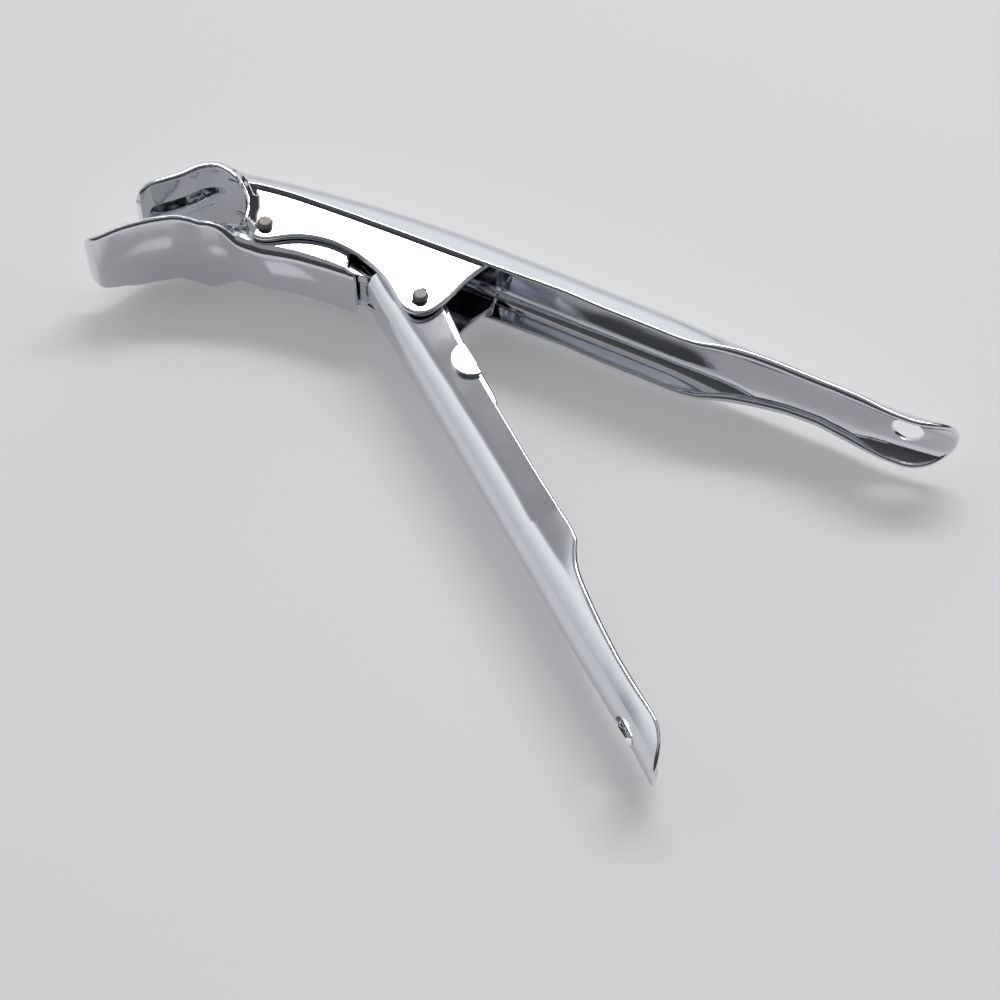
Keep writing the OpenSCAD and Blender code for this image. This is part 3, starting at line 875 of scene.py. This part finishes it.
def area_light(name, at, aim, width, height, power, colour=(1, 1, 1)):
    data = bpy.data.lights.new(name, "AREA")
    data.shape = "RECTANGLE"
    data.size, data.size_y = width, height
    data.energy = power
    data.color = colour
    lamp = bpy.data.objects.new(name, data)
    bpy.context.scene.collection.objects.link(lamp)
    lamp.location = at
    lamp.rotation_euler = (aim - at).to_track_quat("-Z", "Y").to_euler()


def overhead(elevation, distance, right):
    """A place behind the object at that elevation, in the photo's axes."""
    e = math.radians(elevation)
    return from_photo_axes(right, distance * math.cos(e), distance * math.sin(e))


def math_node(tree, operation, *values):
    """A math node whose inputs are numbers or other nodes' outputs."""
    n = tree.nodes.new("ShaderNodeMath")
    n.operation = operation
    for socket, value in zip(n.inputs, values):
        if isinstance(value, (int, float)):
            socket.default_value = value
        else:
            tree.links.new(value, socket)
    return n.outputs[0]


def along_axis(tree, direction, axis):
    n = tree.nodes.new("ShaderNodeVectorMath")
    n.operation = "DOT_PRODUCT"
    tree.links.new(direction, n.inputs[0])
    n.inputs[1].default_value = axis
    return n.outputs["Value"]


def between(tree, value, low, high):
    n = tree.nodes.new("ShaderNodeMapRange")
    n.interpolation_type = "SMOOTHSTEP"
    tree.links.new(value, n.inputs["Value"])
    n.inputs["From Min"].default_value = low
    n.inputs["From Max"].default_value = high
    return n.outputs["Result"]


# brightness of the tent against the sine of the height above the floor
SKY = [(0.0, 0.60), (0.24, 0.65), (0.45, 0.75), (0.63, 0.88), (0.74, 0.95), (0.775, 0.88), (0.815, 0.40),
       (0.85, 0.31)]
SIDE_DARK = 0.075                    # share of it that the dark sides keep


def make_world():
    """A pale tent behind and to the left, grey overhead, dark on the camera's side and low on the right."""
    world = bpy.data.worlds.new("studio")
    bpy.context.scene.world = world
    world.use_nodes = True
    tree = world.node_tree
    direction = tree.nodes.new("ShaderNodeTexCoord").outputs["Generated"]
    right = along_axis(tree, direction, (math.cos(AZIMUTH), math.sin(AZIMUTH), 0))
    away = along_axis(tree, direction, (-math.sin(AZIMUTH), math.cos(AZIMUTH), 0))
    up = along_axis(tree, direction, (0, 0, 1))
    ramp = tree.nodes.new("ShaderNodeValToRGB")
    tree.links.new(up, ramp.inputs["Fac"])
    stops = ramp.color_ramp.elements
    stops.remove(stops[1])
    for i, (height, value) in enumerate(SKY):
        stop = stops[0] if i == 0 else stops.new(height)
        stop.position = height
        stop.color = (value * 0.985, value * 0.995, value * 1.02, 1)
    lit = between(tree, away, -0.22, 0.02)
    low = math_node(tree, "SUBTRACT", 1.0, between(tree, up, 0.45, 0.62))
    shade = math_node(tree, "MULTIPLY", between(tree, right, 0.22, 0.42), low)
    lit = math_node(tree, "MULTIPLY", lit, math_node(tree, "SUBTRACT", 1.0, shade))
    lit = math_node(tree, "MAXIMUM", lit, between(tree, up, 0.8, 0.9))
    level = math_node(tree, "MULTIPLY_ADD", lit, 1 - SIDE_DARK, SIDE_DARK)
    back = tree.nodes["Background"]
    tree.links.new(ramp.outputs["Color"], back.inputs["Color"])
    tree.links.new(level, back.inputs["Strength"])


STRIP_HEIGHT = 51.7                  # elevation that the flat cheeks mirror towards the camera, degrees
STRIP_AWAY, STRIP_RIGHT = 1.3, 0.33
STRIP_SIZE, STRIP_POWER = (1.06, 0.155), 7.6


def make_light():
    make_world()
    aim = from_photo_axes(STRIP_RIGHT, 0.03, 0.01)
    place = overhead(STRIP_HEIGHT, STRIP_AWAY, STRIP_RIGHT)
    area_light("back_strip", place, aim, *STRIP_SIZE, STRIP_POWER, (1.0, 0.995, 0.98))


make_camera()
make_floor()
make_light()
bpy.context.scene.view_settings.view_transform = "Standard"
